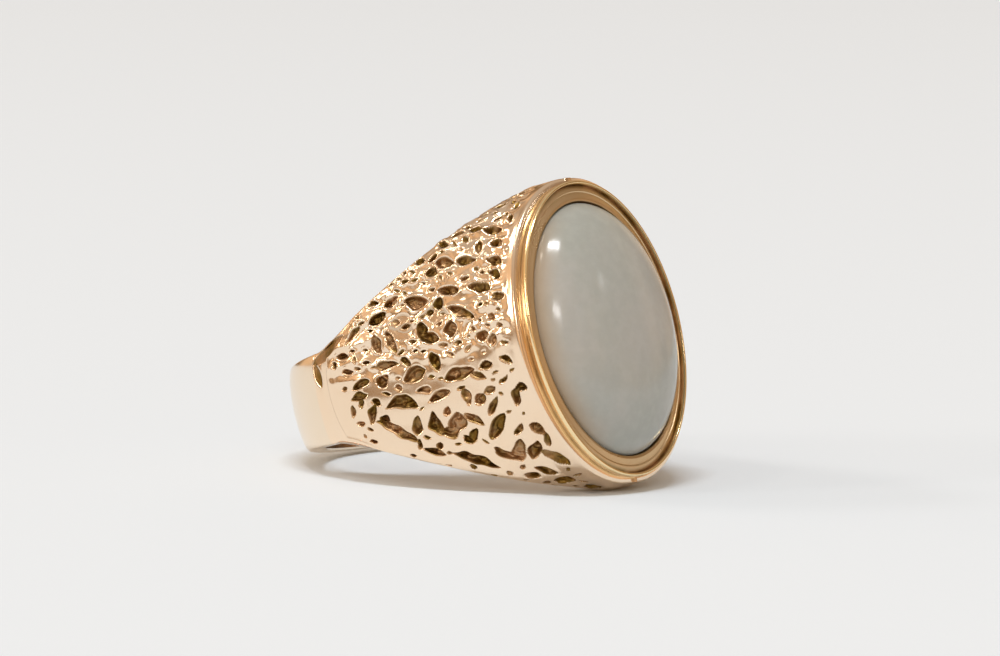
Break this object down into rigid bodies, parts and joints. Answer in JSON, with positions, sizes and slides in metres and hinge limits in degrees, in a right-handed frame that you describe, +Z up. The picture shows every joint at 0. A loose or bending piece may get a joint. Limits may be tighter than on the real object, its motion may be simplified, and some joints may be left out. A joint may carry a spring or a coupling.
{
  "type": "cocktail ring",
  "caption": "Gold cocktail ring with broad textured shoulders, a plain tapered band and an oval cabochon in a smooth stepped bezel, lying on its side.",
  "frame": {"origin": "centre of the finger hole, halfway along the plain band's width", "axes": "+Z is up from the table that the ring lies on; +X points from the finger hole towards the stone, along the table; the finger hole's axis leans back 18.3 degrees from +Z in the XZ plane, because the ring rests on the band's lower edge and the head's lower end"},
  "size_m": [0.0258, 0.021, 0.0185],
  "materials": {
    "cast_gold": "polished 9 carat gold, slightly rosy",
    "bezel_gold": "polished yellow gold",
    "matt_gold": "brushed yellow gold",
    "cabochon": "polished, faintly translucent grey"
  },
  "bodies": {
    "root": {"shank_band": "cast_gold", "left_shoulder": "cast_gold", "right_shoulder": "cast_gold", "bezel_cup": "bezel_gold", "stone_grip": "matt_gold", "stone_shelf": "bezel_gold", "back_plate": "bezel_gold", "cabochon": "cabochon"}
  },
  "joints": []
}
